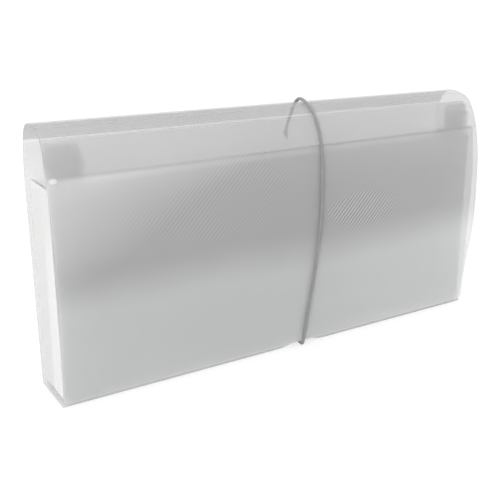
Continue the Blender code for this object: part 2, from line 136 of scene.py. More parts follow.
# The elastic's route in millimetres, from the upper hole over the front and under the base
CORD_ROUTE = (
    (16.5, 18.9, 114.5), (16.8, 20.1, 114.6), (17.6, 20.9, 115.5), (18.6, 20.9, 117.7),
    (19.6, 20.3, 121.4), (20.3, 19.2, 125.8), (20.6, 16.8, 131.3), (20.0, 12.5, 134.6),
    (18.5, 6.8, 135.5), (17.1, 1.0, 134.7), (16.3, -3.3, 133.3), (16.0, -7.5, 130.6),
    (16.4, -10.7, 125.5), (16.7, -13.8, 118.0), (16.7, -16.0, 108.0), (16.1, -18.0, 95.0),
    (15.5, -19.5, 82.0), (14.4, -20.5, 70.0), (12.9, -20.8, 58.0), (11.9, -20.1, 44.0),
    (10.7, -18.8, 28.0), (9.2, -18.1, 14.0), (7.9, -18.05, 4.0), (7.7, -17.9, 2.2),
    (7.7, -17.2, 1.25), (7.8, -16.2, 1.05), (8.4, -7.8, 1.05), (9.1, 6.2, 1.05),
    (9.6, 14.2, 1.1), (9.7, 15.3, 1.4), (9.9, 15.9, 2.4), (10.4, 16.1, 5.0),
    (12.8, 16.4, 13.0), (15.3, 17.0, 21.8), (16.2, 17.2, 25.0), (16.5, 16.7, 26.7),
    (16.5, 15.9, 27.0), (16.5, 15.1, 27.0),
)


def share_between(start, end, share):
    return start + (end - start) * share


def smooth_step(value):
    value = min(max(value, 0), 1)
    return value * value * (3 - 2 * value)


def world_y(depth):
    return STACK_REAR_Y - depth


def on_cover(x, depth, height):
    """A point on the cover, whose top falls a little from left to right."""
    share = max(0, (height - PANEL_HEIGHT) / ROOF_RISE)
    return Vector((x, world_y(depth), height - ROOF_FALL * share * x / FILE_LENGTH))


def channel_rise(x):
    """Height of the base's underside over the elastic."""
    offset = abs(x - CHANNEL_X) / CHANNEL_HALF_WIDTH
    return CHANNEL_DEPTH * (1 + math.cos(math.pi * min(offset, 1))) / 2


def channel_lift(x, height):
    """How far the hump over the elastic lifts a sheet that stands on the base, less and less upwards."""
    return channel_rise(x) * (1 - smooth_step((height - SEAT_HEIGHT) / CHANNEL_FADE))


def fold_turn(foot, way, degrees):
    """Points of a fold's quarter circle, which bends inwards from an upright sheet at the foot's depth."""
    angles = [math.radians(a) for a in degrees]
    rises = [(1 - math.sin(a), 1 - math.cos(a)) for a in angles]
    return [Vector((foot + way * FOLD_RADIUS * inward, FOLD_RADIUS * rise)) for inward, rise in rises]


def smooth_through(points, steps):
    lengths = [(b - a).length for a, b in zip(points, points[1:])]
    slopes = []
    for index in range(len(points)):
        before = max(index - 1, 0)
        after = min(index + 1, len(points) - 1)
        slopes.append((points[after] - points[before]) / sum(lengths[before:after]))
    curve = [points[0]]
    for index, length in enumerate(lengths):
        for step in range(1, steps + 1):
            t = step / steps
            curve.append(
                points[index] * (2 * t**3 - 3 * t**2 + 1)
                + slopes[index] * length * (t**3 - 2 * t**2 + t)
                + points[index + 1] * (3 * t**2 - 2 * t**3)
                + slopes[index + 1] * length * (t**3 - t**2)
            )
    return curve


def path_length(path):
    return sum((b - a).length for a, b in zip(path, path[1:]))


def place_along(path, distance):
    for a, b in zip(path, path[1:]):
        length = (b - a).length
        if distance <= length:
            return a.lerp(b, distance / length)
        distance -= length
    return path[-1]


def rear_crease():
    return Vector((-COVER_SHEET - REAR_CREASE_LEAN, PANEL_HEIGHT + ROOF_RISE * REAR_STRIP_RISE_SHARES[0]))


def crease_at(depth_share, rise_share):
    depth = share_between(-COVER_SHEET, COVER_FRONT_DEPTH, depth_share)
    return Vector((depth, PANEL_HEIGHT + ROOF_RISE * rise_share))


def top_crease():
    return crease_at(TOP_CREASE_SHARE, FRONT_STRIP_RISE_SHARES[0])


def front_crease():
    return crease_at(FRONT_CREASE_SHARE, FRONT_STRIP_RISE_SHARES[-1])


def strip_path(start, end, depth_shares, rise_shares):
    points = [
        Vector((share_between(start.x, end.x, depth), PANEL_HEIGHT + ROOF_RISE * rise))
        for depth, rise in zip(depth_shares, rise_shares)
    ]
    return smooth_through(points, 12)


def rear_strip_path():
    return strip_path(rear_crease(), top_crease(), REAR_STRIP_DEPTH_SHARES, REAR_STRIP_RISE_SHARES)


def front_strip_path():
    return strip_path(top_crease(), front_crease(), FRONT_STRIP_DEPTH_SHARES, FRONT_STRIP_RISE_SHARES)


def flap_path(bulge_shares):
    start = front_crease()
    end = Vector((FLAP_EDGE_DEPTH, FLAP_EDGE_HEIGHT))
    points = [
        start.lerp(end, fall) + Vector((FLAP_BULGE * bulge, 0))
        for fall, bulge in zip(FLAP_FALL_SHARES, bulge_shares)
    ]
    return smooth_through(points, 12)


def back_path():
    """The back panel's outer face from its foot to the rear crease."""
    flat_top = Vector((-COVER_SHEET - BACK_LEAN, PANEL_HEIGHT * 0.92))
    turn = Vector((-COVER_SHEET - BACK_LEAN * 0.96, PANEL_HEIGHT + ROOF_RISE * 0.075))
    return [Vector((-COVER_SHEET, 0)), flat_top] + smooth_through([flat_top, turn, rear_crease()], 10)[1:]


def stack_depth_at(share, height):
    rear = -STACK_REAR_LEAN * height / PANEL_HEIGHT
    front = STACK_DEPTH - STACK_FRONT_LEAN * height / PANEL_HEIGHT
    return share_between(rear, front, share)


def roof_height(depth):
    """Height of the cover's inner face over a depth, at its lower right end."""
    path = rear_strip_path() + front_strip_path()[1:] + flap_path(FLAP_LEFT_BULGE_SHARES)[1:]
    for a, b in zip(path, path[1:]):
        if a.x <= depth <= b.x:
            slope = (b.y - a.y) / (b.x - a.x)
            height = a.y + slope * (depth - a.x)
            fall = ROOF_FALL * (height - PANEL_HEIGHT) / ROOF_RISE / 2
            return height - fall - COVER_SHEET * math.hypot(1, slope)
    return PANEL_HEIGHT


def shoulder_top(share):
    height = SHOULDER_HEIGHT
    for side in (-DIVIDER_SHEET, DIVIDER_SHEET):
        depth = stack_depth_at(share, SHOULDER_HEIGHT) + side
        height = min(height, roof_height(depth) - SHOULDER_CLEARANCE)
    return max(height, PANEL_HEIGHT)


# Shaders


class Net:
    """Short words for adding and joining nodes in one node tree."""

    def __init__(self, tree):
        self.tree = tree

    def add(self, kind, **settings):
        node = self.tree.nodes.new(kind)
        for name, value in settings.items():
            setattr(node, name, value)
        return node

    def join(self, source, target):
        self.tree.links.new(source, target)

    def fill(self, socket, value):
        """Sets a socket to a number or a colour, or joins another node to it."""
        if isinstance(value, tuple):
            socket.default_value = (*value, 1)
        elif isinstance(value, (int, float)):
            socket.default_value = value
        else:
            self.join(value, socket)

    def maths(self, operation, first, second=0.0, clamp=False):
        node = self.add("ShaderNodeMath", operation=operation, use_clamp=clamp)
        self.fill(node.inputs[0], first)
        self.fill(node.inputs[1], second)
        return node.outputs[0]

    def plus(self, first, second, clamp=False):
        return self.maths("ADD", first, second, clamp)

    def minus(self, first, second):
        return self.maths("SUBTRACT", first, second)

    def times(self, first, second, clamp=False):
        return self.maths("MULTIPLY", first, second, clamp)

    def divide(self, first, second):
        return self.maths("DIVIDE", first, second)

    def noise(self, place, scale, detail=2.0, roughness=0.5):
        node = self.add("ShaderNodeTexNoise")
        settings = {"Vector": place, "Scale": scale, "Detail": detail, "Roughness": roughness}
        for name, value in settings.items():
            self.fill(node.inputs[name], value)
        return node.outputs["Fac"]

    def between(self, value, low, high, smooth=True):
        """Maps a value to 0 at low and 1 at high, clamped."""
        node = self.add("ShaderNodeMapRange", interpolation_type="SMOOTHSTEP" if smooth else "LINEAR")
        for name, given in (("Value", value), ("From Min", low), ("From Max", high)):
            self.fill(node.inputs[name], given)
        return node.outputs["Result"]

    def scale(self, colour, value):
        node = self.add("ShaderNodeVectorMath", operation="SCALE")
        self.join(colour, node.inputs["Vector"])
        self.join(value, node.inputs["Scale"])
        return node.outputs["Vector"]

    def darken(self, colour, mask, share):
        """Takes a share of a colour's light away where the mask is 1."""
        return self.scale(colour, self.minus(1.0, self.times(mask, share)))

    def mix(self, share, first, second):
        node = self.add("ShaderNodeMix", data_type="RGBA")
        self.join(share, node.inputs["Factor"])
        self.fill(node.inputs[6], first)
        self.fill(node.inputs[7], second)
        return node.outputs[2]

    def parts(self, place):
        """The X, Y and Z of a place."""
        split = self.add("ShaderNodeSeparateXYZ")
        self.join(place, split.inputs[0])
        return split.outputs

    def sheet_place(self):
        """The place on a sheet: X along the file, Y the run up the sheet and Z the height."""
        return self.add("ShaderNodeAttribute", attribute_name="sheet_place").outputs["Vector"]

    # The mark whitens a sheet where it is stressed, and also carries painted light: a painted highlight at
    # the front panel's top left corner and whiter pleat tops.
    def stress_and_painted_light_mark(self):
        return self.add("ShaderNodeAttribute", attribute_name="stress_and_painted_light_mark").outputs["Fac"]

    def drawn_out(self, place, share):
        """The place for a pattern that is drawn out along Z, longer for a smaller share."""
        node = self.add("ShaderNodeMapping")
        node.inputs["Scale"].default_value = (1, 1, share)
        self.join(place, node.inputs["Vector"])
        return node.outputs["Vector"]

    def roughen(self, shader, pattern, reach, low):
        """Roughness from low up to low and reach, after a pattern."""
        self.join(self.plus(self.times(pattern, reach), low), shader.inputs["Roughness"])

    def bump(self, shader, height, distance, strength):
        node = self.add("ShaderNodeBump")
        node.inputs["Distance"].default_value = distance
        node.inputs["Strength"].default_value = strength
        self.join(height, node.inputs["Height"])
        self.join(node.outputs["Normal"], shader.inputs["Normal"])


def new_group(name, inputs, outputs):
    tree = bpy.data.node_groups.new(name, "ShaderNodeTree")
    for socket, value in inputs.items():
        made = tree.interface.new_socket(name=socket, in_out="INPUT", socket_type="NodeSocketFloat")
        made.default_value = value
    for socket in outputs:
        tree.interface.new_socket(name=socket, in_out="OUTPUT", socket_type="NodeSocketFloat")
    net = Net(tree)
    return net, net.add("NodeGroupInput"), net.add("NodeGroupOutput")


def grey(value):
    return (value, value, value)


def frost_group():
    """Cast polypropylene: soft clouding, fine frosted grain and slanted embossed lines."""
    sizes = {"Line Spacing": 1.85 * MM, "Line Depth": 1.0, "Grain": 900.0}
    net, given, out = new_group("frosted_sheet", sizes, ("Cloud", "Lines", "Grain", "Height"))
    place = net.sheet_place()
    spot = net.parts(place)
    slant = net.times(net.plus(spot["X"], spot["Y"]), math.sqrt(0.5))
    wave = net.maths("SINE", net.times(net.divide(slant, given.outputs["Line Spacing"]), 2 * math.pi))
    lines = net.times(net.times(net.plus(wave, 1.0), 0.5), given.outputs["Line Depth"])
    grain = net.noise(place, given.outputs["Grain"])
    net.join(net.noise(place, 16.0, 3.0, 0.55), out.inputs["Cloud"])
    net.join(lines, out.inputs["Lines"])
    net.join(grain, out.inputs["Grain"])
    net.join(net.plus(net.times(lines, 0.7), net.times(grain, 0.3)), out.inputs["Height"])
    return net.tree


def weld_group():
    """Rows of small pressed diamonds where a sheet's ends are welded to the pleats."""
    net, given, out = new_group("weld_seam", {"Seam X": WELD_X, "Pitch": 2 * MM}, ("Mask",))
    spot = net.parts(net.sheet_place())
    side = net.maths("ABSOLUTE", spot["X"])
    across = net.maths("ABSOLUTE", net.minus(side, given.outputs["Seam X"]))
    cell = net.maths("FRACT", net.divide(spot["Y"], given.outputs["Pitch"]))
    along = net.maths("ABSOLUTE", net.minus(cell, 0.5))
    reach = net.plus(net.divide(across, 1.6 * MM), net.times(along, 2.4))
    net.join(net.between(reach, 1.0, 0.7), out.inputs["Mask"])
    return net.tree


def use_group(net, tree, **values):
    node = net.add("ShaderNodeGroup", node_tree=tree)
    for name, value in values.items():
        node.inputs[name].default_value = value
    return node.outputs


def new_finish(name, colour, roughness, **constants):
    """A Principled material with its constants set directly on the shader."""
    finish = bpy.data.materials.new(name)
    finish.use_nodes = True
    finish.diffuse_color = (*colour, 1)
    shader = finish.node_tree.nodes["Principled BSDF"]
    shader.inputs["Base Color"].default_value = (*colour, 1)
    shader.inputs["Roughness"].default_value = roughness
    for socket, value in constants.items():
        shader.inputs[socket.replace("_", " ")].default_value = value
    return finish, Net(finish.node_tree), shader


def oval(net, across, height, centre, reach):
    """1 in the middle of an oval patch of the flap, 0 outside it; its sizes are in millimetres."""
    wide = net.divide(net.minus(across, centre[0] * MM), reach[0] * MM)
    tall = net.divide(net.minus(height, centre[1] * MM), reach[1] * MM)
    return net.between(net.plus(net.times(wide, wide), net.times(tall, tall)), 1.2, 0.2)


def painted_light_group():
    """The flap's painted light and line patches: Dull is painted shade over its upper part, Pale a painted
    highlight on its left corner, Side makes both tones lighter towards its right end, and Lines gives the
    patches where its lines stand out.

    Edge is a thin painted shadow over the front panel's top edge with a weaker painted shade above it, and
    Glint a painted highlight, the bright spot at that edge's left end.
    """
    sizes = {"Foot": 45 * MM, "Crown": 72 * MM}
    net, given, out = new_group("flap_painted_light", sizes, ("Dull", "Side", "Pale", "Lines", "Edge", "Glint"))
    place = net.sheet_place()
    spot = net.parts(place)
    across = spot["X"]
    height = spot["Z"]
    wander = net.times(net.noise(place, 14.0), 10 * MM)
    wavy = net.minus(net.plus(height, wander), 5 * MM)
    net.join(net.between(wavy, given.outputs["Foot"], given.outputs["Crown"]), out.inputs["Dull"])
    net.join(net.between(across, -20 * MM, 130 * MM), out.inputs["Side"])
    along = net.divide(net.plus(across, HALF_LENGTH), 90 * MM)
    down = net.divide(net.minus(PANEL_HEIGHT, wavy), 45 * MM)
    corner = net.between(net.plus(along, down), 1.3, 0.25, smooth=False)
    under = net.between(height, PANEL_HEIGHT + 1 * MM, PANEL_HEIGHT - 2.5 * MM)
    net.join(net.times(corner, under), out.inputs["Pale"])
    above = net.maths("ABSOLUTE", net.minus(height, PANEL_HEIGHT - 0.2 * MM))
    shade = net.plus(net.times(net.between(across, -60 * MM, 40 * MM), 0.6), 0.4)
    line = net.times(net.between(above, 1.1 * MM, 0.3 * MM), net.times(shade, 0.75))
    upper = net.between(height, PANEL_HEIGHT - 2 * MM, PANEL_HEIGHT)
    upper = net.times(upper, net.between(across, -110 * MM, 30 * MM))
    net.join(net.plus(line, upper), out.inputs["Edge"])
    net.join(oval(net, across, height, (-130.6, 112.8), (2.2, 1.5)), out.inputs["Glint"])
    strong = oval(net, across, height, (45, 76), (27, 12))
    faint = oval(net, across, height, (-42, 92), (62, 24))
    blotch = net.between(net.noise(place, 30.0, 1.0), 0.3, 0.6)
    patches = net.times(net.times(faint, blotch), 0.25)
    net.join(net.plus(net.maths("MAXIMUM", strong, patches), 0.02), out.inputs["Lines"])
    return net.tree


def sheet_finish(name, groups, clear, dull, opacity, line_depth, seam=0.0, pale=None, raised=None):
    """Frosted sheet of a clear and a dull tone, whiter and more opaque where it is marked or welded.

    A pale tone brings the flap's painted light, and a raised tone painted shade on a divider's raised
    shoulders, greyer towards the top of the left one and darkest on the right one.
    """
    frost, weld, painted_light = groups
    finish, net, shader = new_finish(name, clear, 0.3, IOR=1.49)
    film = use_group(net, frost, **{"Line Depth": line_depth})
    mark = net.stress_and_painted_light_mark()
    spot = net.parts(net.sheet_place())
    alpha = net.plus(net.times(mark, 0.22), opacity)
    strength = 0.04
    if pale:
        soft = use_group(net, painted_light)
        # Painted light on the flap: Dull darkens its upper part as painted shade, Pale paints a highlight on
        # its left corner, Edge paints a shadow over the front panel's top edge, and Glint paints a bright
        # spot at that edge's left end.
        tone = net.mix(soft["Side"], clear, tuple(c * 1.19 for c in clear))
        shaded_tone = net.mix(soft["Side"], dull, tuple(c * 1.17 for c in dull))
        tone = net.mix(soft["Pale"], net.mix(soft["Dull"], tone, shaded_tone), pale)
        tone = net.mix(soft["Glint"], net.darken(tone, soft["Edge"], 0.11), grey(0.95))
        alpha = net.plus(alpha, net.times(soft["Glint"], 0.2))
        strength = soft["Lines"]
    else:
        tone = net.mix(net.between(film["Cloud"], 0.3, 0.75), clear, dull)
    swing = net.times(net.minus(film["Lines"], line_depth / 2), 0.8)
    tone = net.scale(tone, net.plus(net.times(swing, strength), 1.0))
    tone = net.scale(tone, net.plus(net.times(film["Cloud"], 0.06), 0.97))
    side = net.maths("ABSOLUTE", spot["X"])
    tone = net.darken(tone, net.between(side, HALF_LENGTH - 0.6 * MM, HALF_LENGTH - 0.2 * MM), 0.15)
    tone = net.mix(net.times(mark, 0.85), tone, grey(0.92))
    # Painted shade: a divider's raised shoulders are grey and more opaque, greyer towards the top of the left
    # one and darkest on the right one.
    if raised:
        shoulder = net.between(spot["Z"], DIVIDER_TOP + 0.2 * MM, DIVIDER_TOP + 1.5 * MM)
        near_top = net.between(spot["Z"], DIVIDER_TOP + 6 * MM, DIVIDER_TOP + 19 * MM)
        left_tone = net.mix(near_top, grey(0.9), raised)
        end_tone = net.mix(net.between(spot["X"], -10 * MM, 10 * MM), left_tone, grey(0.42))
        tone = net.mix(shoulder, tone, end_tone)
        alpha = net.plus(alpha, net.times(shoulder, 0.14))
    height = film["Height"]
    if seam:
        pressed = use_group(net, weld, **{"Seam X": seam})["Mask"]
        alpha = net.plus(alpha, net.times(pressed, 0.08))
        tone = net.mix(net.times(pressed, 0.3), tone, grey(0.9))
        height = net.minus(height, net.times(pressed, 2.0))
    net.join(tone, shader.inputs["Base Color"])
    net.join(net.times(alpha, 1.0, clamp=True), shader.inputs["Alpha"])
    net.roughen(shader, film["Grain"], 0.2, 0.22)
    net.bump(shader, height, 0.05 * MM, 0.05 + 0.55 * line_depth)
    return finish


def elastic_finish(name, light, dark):
    finish, net, shader = new_finish(name, light, 0.75, Sheen_Weight=0.25, Sheen_Roughness=0.5)
    place = net.add("ShaderNodeTexCoord").outputs["Object"]
    fibre = net.noise(place, 5200.0)
    patch = net.noise(place, 260.0)
    tone = net.mix(net.between(fibre, 0.3, 0.7), dark, light)
    worn = tuple(min(1, c * 1.25) for c in light)
    tone = net.mix(net.times(net.between(patch, 0.5, 0.8), 0.4), tone, worn)
    net.join(tone, shader.inputs["Base Color"])
    net.roughen(shader, fibre, 0.2, 0.65)
    net.bump(shader, fibre, 0.05 * MM, 0.7)
    return finish


def metal_finish():
    finish, net, shader = new_finish("crimped_metal_finish", (0.58, 0.58, 0.6), 0.32, Metallic=1.0)
    place = net.add("ShaderNodeTexCoord").outputs["Object"]
    scratch = net.noise(net.drawn_out(place, 0.08), 9000.0, 3.0)
    tarnish = net.noise(place, 700.0)
    tone = net.mix(net.between(tarnish, 0.45, 0.75), (0.6, 0.6, 0.62), (0.44, 0.44, 0.45))
    net.join(tone, shader.inputs["Base Color"])
    net.roughen(shader, scratch, 0.3, 0.2)
    net.bump(shader, scratch, 0.02 * MM, 0.5)
    return finish


def gusset_finish():
    """Milky film, whiter along its folds and, as painted light, along its top, with fine stretch lines down
    the folds; painted shade darkens its rear pleats a little.
    """
    milky = (0.93, 0.93, 0.925)
    finish, net, shader = new_finish("gusset_film_finish", milky, 0.42, IOR=1.49)
    place = net.add("ShaderNodeTexCoord").outputs["Object"]
    spot = net.parts(place)
    mark = net.stress_and_painted_light_mark()
    strands = net.noise(net.drawn_out(place, 0.04), 1800.0, 3.0)
    tone = net.mix(net.between(net.noise(place, 60.0), 0.3, 0.7), milky, (0.88, 0.885, 0.885))
    tone = net.mix(net.times(net.between(strands, 0.55, 0.7), 0.3), tone, (0.8, 0.805, 0.81))
    tone = net.mix(mark, tone, (0.96, 0.96, 0.955))
    # Painted light: the rear pleats get a little painted shade, and the front ones lower down are more
    # opaque, which makes them lighter.
    rear = net.between(spot["Y"], -5 * MM, 2 * MM)
    net.join(net.darken(tone, rear, 0.03), shader.inputs["Base Color"])
    front = net.times(net.minus(1.0, rear), net.between(spot["Z"], 95 * MM, 70 * MM))
    alpha = net.plus(net.times(mark, 0.3), 0.5)
    net.join(net.plus(alpha, net.times(front, 0.1), clamp=True), shader.inputs["Alpha"])
    net.roughen(shader, strands, 0.2, 0.35)
    net.bump(shader, strands, 0.04 * MM, 0.6)
    return finish


# Pieces


def add_object(name, data):
    made = bpy.data.objects.new(name, data)
    bpy.context.scene.collection.objects.link(made)
    return made


def finished(piece):
    """Turns a piece and its modifiers into one plain smooth-shaded mesh."""
    bpy.context.view_layer.update()
    solid = bpy.data.meshes.new_from_object(piece.evaluated_get(bpy.context.evaluated_depsgraph_get()))
    name = piece.name
    old = piece.data
    world = piece.matrix_world.copy()
    bpy.data.objects.remove(piece)
    bpy.data.meshes.remove(old)
    solid.name = name
    solid.transform(world)
    for face in solid.polygons:
        face.use_smooth = True
    solid.set_sharp_from_angle(angle=math.radians(38))
    return add_object(name, solid)


def mark_vertices(mesh, values):
    attribute = mesh.attributes.new("stress_and_painted_light_mark", "FLOAT", "POINT")
    attribute.data.foreach_set("value", values)


def place_vertices(mesh, values):
    attribute = mesh.attributes.new("sheet_place", "FLOAT_VECTOR", "POINT")
    attribute.data.foreach_set("vector", np.array(values, np.float32).ravel())


def grid_sheet(name, rows, columns, place, thickness, finish, mark, offset=-1, rounding=0.18 * MM):
    """A thick sheet with softened edges, from a grid of points on one face, its rows from base to flap."""
    points = [place(column, row) for row in rows for column in columns]
    width = len(columns)
    faces = [
        (i * width + j, (i + 1) * width + j, (i + 1) * width + j + 1, i * width + j + 1)
        for i in range(len(rows) - 1)
        for j in range(width - 1)
    ]
    mesh = bpy.data.meshes.new(name)
    mesh.from_pydata(points, [], faces)
    mesh.materials.append(finish)
    run = 0
    spots = []
    middle = width // 2
    for i in range(len(rows)):
        if i:
            run += (points[i * width + middle] - points[(i - 1) * width + middle]).length
        spots += [(points[i * width + j].x, run, points[i * width + j].z) for j in range(width)]
    place_vertices(mesh, spots)
    mark_vertices(mesh, [mark(column, row) for row in rows for column in columns])
    piece = add_object(name, mesh)
    solid = piece.modifiers.new("thickness", "SOLIDIFY")
    solid.thickness = thickness
    solid.offset = offset
    solid.use_even_offset = True
    solid.use_quality_normals = True
    if rounding:
        edge = piece.modifiers.new("cut_edge", "BEVEL")
        edge.width = rounding
        edge.segments = 2
        edge.limit_method = "ANGLE"
        edge.angle_limit = math.radians(50)
    return piece


def even_shares(count):
    return [step / count for step in range(count + 1)]


def end_to_end(count):
    """Places along the file, with two more close to each end."""
    rim = [HALF_LENGTH - 0.5 * MM, HALF_LENGTH - 1.2 * MM]
    inner = [share_between(-HALF_LENGTH, HALF_LENGTH, share) for share in even_shares(count)]
    return sorted(inner + rim + [-x for x in rim])


def end_mark(x):
    """Whitening of a sheet's cut ends."""
    return 0.08 * (1 - smooth_step((HALF_LENGTH - abs(x)) / (1.2 * MM)))


def over_channel(places):
    """Adds places that follow the hump over the elastic."""
    return sorted(places + [CHANNEL_X + CHANNEL_HALF_WIDTH * step / 5 for step in range(-4, 5)])


def make_back_and_base(finish):
    """Base, rear fold and back panel, one scored sheet with the elastic's two punched holes."""
    front = COVER_FRONT_DEPTH - FOLD_RADIUS
    rear = -COVER_SHEET + FOLD_RADIUS
    base = [Vector((share_between(front, rear, share), 0)) for share in even_shares(12)]
    turn = fold_turn(-COVER_SHEET, 1, (15, 30, 45, 60, 75))
    upright = back_path()
    start = FOLD_RADIUS * 1.05
    end = path_length(upright) - CREASE_GAP / 2
    rows = base + turn + [place_along(upright, share_between(start, end, share)) for share in even_shares(64)]

    def place(x, row):
        depth, height = row
        raised = height + channel_lift(x, height)
        if height > FOLD_RADIUS and raised < PANEL_HEIGHT * 0.9:
            depth = place_along(upright, raised).x
        return on_cover(x, depth, raised)

    def mark(x, row):
        return THIN_MARK if row is rows[-1] else max(end_mark(x), 0.35 if row in turn else 0)

    places = over_channel(end_to_end(54))
    piece = grid_sheet("back_and_base_sheet", rows, places, place, COVER_SHEET, finish, mark)
    punches = []
    for height in (UPPER_ANCHOR_HEIGHT, LOWER_ANCHOR_HEIGHT):
        bpy.ops.mesh.primitive_cylinder_add(
            vertices=32, radius=HOLE_RADIUS, depth=16 * MM,
            location=(ANCHOR_X, STACK_REAR_Y + 4 * MM, height), rotation=(math.pi / 2, 0, 0),
        )
        punches.append(bpy.context.active_object)
        hole = piece.modifiers.new("hole", "BOOLEAN")
        hole.object = punches[-1]
        hole.solver = "EXACT"
    made = finished(piece)
    for punch in punches:
        bpy.data.objects.remove(punch)
    return made


def make_strip(name, path, finish):
    """One of the two narrow top strips, clearer along its creases."""
    length = path_length(path)
    start = CREASE_GAP / 2
    count = max(10, round(length / (0.5 * MM)))
    rows = [share_between(start, length - start, share) for share in even_shares(count)]

    def place(x, distance):
        return on_cover(x, *place_along(path, distance))

    def mark(x, distance):
        return THIN_MARK if min(distance, length - distance) < 0.3 * MM else end_mark(x)

    return finished(grid_sheet(name, rows, end_to_end(60), place, COVER_SHEET, finish, mark))


def make_crease(name, before, after, finish):
    """The thin scored film that joins two strips of the cover, and where its bend starts and ends."""
    reach = 0.3 * MM
    groove = 0.14 * MM
    half = HALF_LENGTH - 0.1 * MM
    crease = after[0]
    lead_in = (crease, place_along(list(reversed(before)), reach))
    lead_out = (crease, place_along(after, reach))
    rows = [(lead_in, share) for share in (1, 0.75, 0.5, 0.25)]
    rows += [(lead_out, share) for share in even_shares(4)]
    across = (lead_out[1] - lead_in[1]).normalized()
    inward = Vector((-across.y, across.x))
    if inward.y > 0:
        inward = -inward

    def place(x, row):
        (near, far), share = row
        return on_cover(x, *(near.lerp(far, share) + inward * groove * (1 - 0.4 * share)))

    places = [share_between(-half, half, share) for share in even_shares(40)]
    film = grid_sheet(name, rows, places, place, 0.3 * MM, finish, lambda x, row: 0.35, rounding=0)
    start, end = (on_cover(0, *near.lerp(far, 0.55)) for near, far in (lead_in, lead_out))
    return finished(film), start, end


def make_flap(finish):
    """The long flap front, its two lower corners rounded."""
    left = flap_path(FLAP_LEFT_BULGE_SHARES)
    right = flap_path(FLAP_RIGHT_BULGE_SHARES)
    left_run = path_length(left) - CREASE_GAP / 2
    right_run = path_length(right) - CREASE_GAP / 2
    corner = 3.6 * MM
    shares = [share * (1 - corner / left_run) for share in even_shares(84)]
    shares += [1 - up * corner / left_run for up in (0.72, 0.56, 0.42, 0.3, 0.2, 0.12, 0.06, 0.02, 0)]
    places = [x / FILE_LENGTH + 0.5 for x in end_to_end(66)]

    def half_at(share):
        over = max(0, corner - (1 - share) * left_run)
        return HALF_LENGTH - corner + math.sqrt(max(0, corner**2 - over**2))

    def place(across, share):
        half = half_at(share)
        x = share_between(-half, half, across)
        a = place_along(left, CREASE_GAP / 2 + left_run * share)
        b = place_along(right, CREASE_GAP / 2 + right_run * share)
        return on_cover(x, *a.lerp(b, x / FILE_LENGTH + 0.5))

    def mark(across, share):
        end = end_mark(share_between(-HALF_LENGTH, HALF_LENGTH, across))
        edge = 0.3 * (1 - smooth_step((1 - share) * left_run / (1 * MM)))
        return THIN_MARK if share == 0 else max(end, edge)

    return finished(grid_sheet("flap_sheet", shares, places, place, COVER_SHEET, finish, mark))


def arc(centre_x, centre_y, radius, start, turn):
    angles = [start + turn * share for share in even_shares(8)]
    return [(centre_x + radius * math.cos(a), centre_y + radius * math.sin(a)) for a in angles]


def lower_edge(half):
    fan = math.cos(POCKET_COUNT * POCKET_OPENING)
    low = CHANNEL_X - CHANNEL_HALF_WIDTH
    places = [low + 2 * CHANNEL_HALF_WIDTH * share for share in even_shares(24)]
    return [(-half, 0)] + [(x, channel_rise(x) / fan) for x in places] + [(half, 0)]


def upright_sheet(name, outline, share, finish):
    """A divider stood on its foot at a share of the stack, leaning back.

    It is one face without thickness, because a line of sight through more than eight faces ends black.
    """
    mesh = bpy.data.meshes.new(name)
    mesh.from_pydata([(x, y, 0) for x, y in outline], [], [tuple(range(len(outline)))])
    mesh.materials.append(finish)
    foot = Vector((0, world_y(stack_depth_at(share, SEAT_HEIGHT)), SEAT_HEIGHT))
    mesh.transform(Matrix.Translation(foot) @ Matrix.Rotation(math.pi / 2 - sheet_lean(share), 4, "X"))
    place_vertices(mesh, [(v.co.x, v.co.z, v.co.z) for v in mesh.vertices])
    return add_object(name, mesh)


def panel_bow(x, height):
    """How far the front panel stands out of its flat place, most at its right end."""
    points = [(0, 0), (20, 1.9), (50, 3.1), (87, 3.9), (114, 1.2)]
    curve = smooth_through([Vector((z * MM, out * MM)) for z, out in points], 6)
    out = np.interp(height, [p.x for p in curve], [p.y for p in curve])
    return float(out) * share_between(0.35, 1, x / FILE_LENGTH + 0.5)


def make_front_panel(finish):
    """The front panel, bowed a little forward and open at its foot for the elastic."""
    bends = [math.radians(a) for a in (90, 86, 80, 70, 55, 40, 20)]
    heights = [PANEL_HEIGHT - SHEET_CORNER * (1 - math.sin(a)) for a in bends]
    heights += [share_between(PANEL_HEIGHT - SHEET_CORNER, 4 * MM, share) for share in even_shares(34)]
    heights += [SEAT_HEIGHT + step * MM for step in (1.6, 0.7, 0)]
    places = [x / HALF_LENGTH for x in over_channel(end_to_end(66))]

    def place(across, height):
        over = max(0, height - PANEL_HEIGHT + SHEET_CORNER)
        x = across * (PANEL_EDGE_X - SHEET_CORNER + math.sqrt(max(0, SHEET_CORNER**2 - over**2)))
        depth = stack_depth_at(1, height) + COVER_SHEET + panel_bow(x, height)
        return Vector((x, world_y(depth), height + channel_lift(x, height)))

    def mark(across, height):
        side = 1 - smooth_step((1 - abs(across)) * PANEL_EDGE_X / (1.1 * MM))
        top = 1 - smooth_step((PANEL_HEIGHT - height) / (0.9 * MM))
        # The spot round the top left corner is a painted highlight.
        from_corner = math.hypot((1 + across) * PANEL_EDGE_X - 2 * MM, PANEL_HEIGHT - height)
        return max(0.2 * side, 0.55 * top, 1 - smooth_step(from_corner / (4 * MM)))

    return finished(grid_sheet("front_panel_sheet", heights, places, place, COVER_SHEET, finish, mark))


